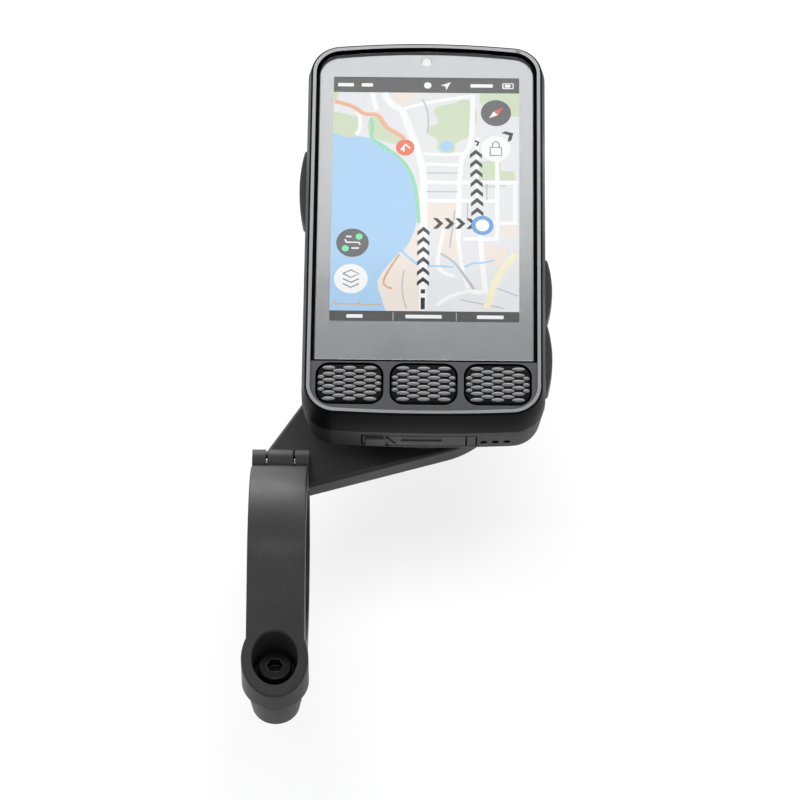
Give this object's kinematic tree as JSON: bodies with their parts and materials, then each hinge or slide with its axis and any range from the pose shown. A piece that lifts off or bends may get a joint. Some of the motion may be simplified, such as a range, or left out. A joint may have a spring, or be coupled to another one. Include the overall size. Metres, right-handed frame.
{
  "type": "cycling computer",
  "caption": "Slim cycling computer with a colour map display, textured front buttons and side buttons, locked by a quarter turn onto an out-front handlebar clamp.",
  "frame": {"origin": "centre of the handlebar clamp's bore", "axes": "+X along the handlebar to the rider's right, +Y forwards towards the top of the screen, +Z out of the screen"},
  "size_m": [0.064, 0.1488, 0.047],
  "materials": {
    "case_plastic": "fine satin black moulding with a polished rim edge",
    "shell_plastic": "fine textured black moulding",
    "front_glass": "hardened glass, polished",
    "black_print": "gloss black",
    "display_face": "lit colour display",
    "white_diffuser": "milky white",
    "button_rubber": "dimpled matt rubber",
    "side_button_plastic": "satin",
    "door_rubber": "matt rubber",
    "black_rubber": "matt",
    "mount_plastic": "glass filled nylon with a fine texture",
    "socket_plastic": "satin moulded plastic",
    "blackened_steel": "black oxide",
    "pressed_steel": "bright",
    "insert_brass": "turned",
    "circuit_board": "solder resist",
    "ribbon_film": "amber film",
    "antenna_ceramic": "unglazed with a metal face",
    "battery_foil": "foil pouch",
    "vent_fabric": "fine membrane"
  },
  "bodies": {
    "mount": {"mount_arm": "mount_plastic", "clamp_strap": "mount_plastic", "hinge_pin": "blackened_steel", "clamp_bolt": "blackened_steel", "clamp_nut": "insert_brass", "lock_socket": "socket_plastic", "socket_screws": "blackened_steel", "detent_springs": "pressed_steel"},
    "computer": {"front_bezel": "case_plastic", "cover_glass": "front_glass", "border_film": "black_print", "glass_gasket": "black_rubber", "display_panel": "display_face", "display_tray": "pressed_steel", "display_ribbon": "ribbon_film", "light_sensor": "white_diffuser", "front_button_seals": "black_rubber", "front_switches": "pressed_steel", "button_board": "circuit_board", "rear_shell": "shell_plastic", "case_seal": "black_rubber", "side_switches": "pressed_steel", "main_board": "circuit_board", "processor_can": "pressed_steel", "antenna_patch": "antenna_ceramic", "battery": "battery_foil", "battery_pad": "black_rubber", "charging_socket": "pressed_steel", "door_anchor": "door_rubber", "sounder": "black_print", "vent_membrane": "vent_fabric", "case_screws": "blackened_steel", "lock_plate": "shell_plastic", "lock_plate_screws": "blackened_steel"},
    "left_button": {"left_button": "button_rubber"},
    "middle_button": {"middle_button": "button_rubber"},
    "right_button": {"right_button": "button_rubber"},
    "power_button": {"power_button": "side_button_plastic"},
    "up_button": {"up_button": "side_button_plastic"},
    "down_button": {"down_button": "side_button_plastic"},
    "port_door": {"port_door": "door_rubber"}
  },
  "joints": [
    {"name": "quarter_turn", "type": "hinge", "parent": "mount", "child": "computer", "pos_m": [0.03, 0.0435, 0.009], "axis": [0, 0, 1], "range_deg": [-90, 0]},
    {"name": "left_button_press", "type": "slide", "parent": "computer", "child": "left_button", "axis": [0, 0, -1], "range_m": [0, 0.0005], "stiffness_N_per_m": 3000, "springref_m": -0.0004},
    {"name": "middle_button_press", "type": "slide", "parent": "computer", "child": "middle_button", "axis": [0, 0, -1], "range_m": [0, 0.0005], "stiffness_N_per_m": 3000, "springref_m": -0.0004},
    {"name": "right_button_press", "type": "slide", "parent": "computer", "child": "right_button", "axis": [0, 0, -1], "range_m": [0, 0.0005], "stiffness_N_per_m": 3000, "springref_m": -0.0004},
    {"name": "power_button_press", "type": "slide", "parent": "computer", "child": "power_button", "axis": [1, 0, 0], "range_m": [0, 0.0005], "stiffness_N_per_m": 3000, "springref_m": -0.0004},
    {"name": "up_button_press", "type": "slide", "parent": "computer", "child": "up_button", "axis": [-1, 0, 0], "range_m": [0, 0.0005], "stiffness_N_per_m": 3000, "springref_m": -0.0004},
    {"name": "down_button_press", "type": "slide", "parent": "computer", "child": "down_button", "axis": [-1, 0, 0], "range_m": [0, 0.0005], "stiffness_N_per_m": 3000, "springref_m": -0.0004},
    {"name": "port_door_swing", "type": "hinge", "parent": "computer", "child": "port_door", "pos_m": [0.0389, 0.02205, 0.0143], "axis": [0, 0, 1], "range_deg": [0, 100]}
  ]
}
